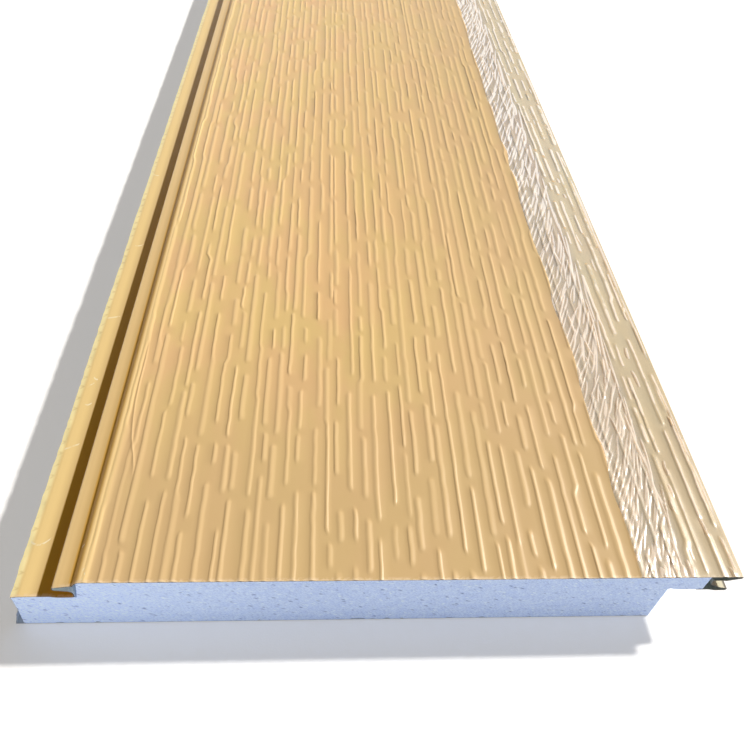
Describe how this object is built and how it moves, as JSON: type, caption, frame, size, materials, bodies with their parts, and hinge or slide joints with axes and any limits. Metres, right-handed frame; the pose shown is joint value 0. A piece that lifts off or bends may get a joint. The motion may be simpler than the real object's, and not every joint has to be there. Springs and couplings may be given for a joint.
{
  "type": "insulated sandwich panel",
  "caption": "Long insulated cladding panel: embossed steel face on a foam core, with a screw flange and slot along one edge and a tongue under an overhang along the other.",
  "frame": {"origin": "on the floor, under the middle of the panel's box", "axes": "+X across the panel from the flange edge to the tongue edge, +Y along its length, +Z from the foil back up to the embossed face"},
  "size_m": [0.4265, 3.8, 0.0501],
  "materials": {
    "painted_steel": "satin",
    "foam": "matte",
    "foil": "satin",
    "clear_film": "gloss"
  },
  "bodies": {
    "root": {"face_sheet": "painted_steel", "foam_core": "foam", "back_foil": "foil", "protective_film": "clear_film"}
  },
  "joints": []
}
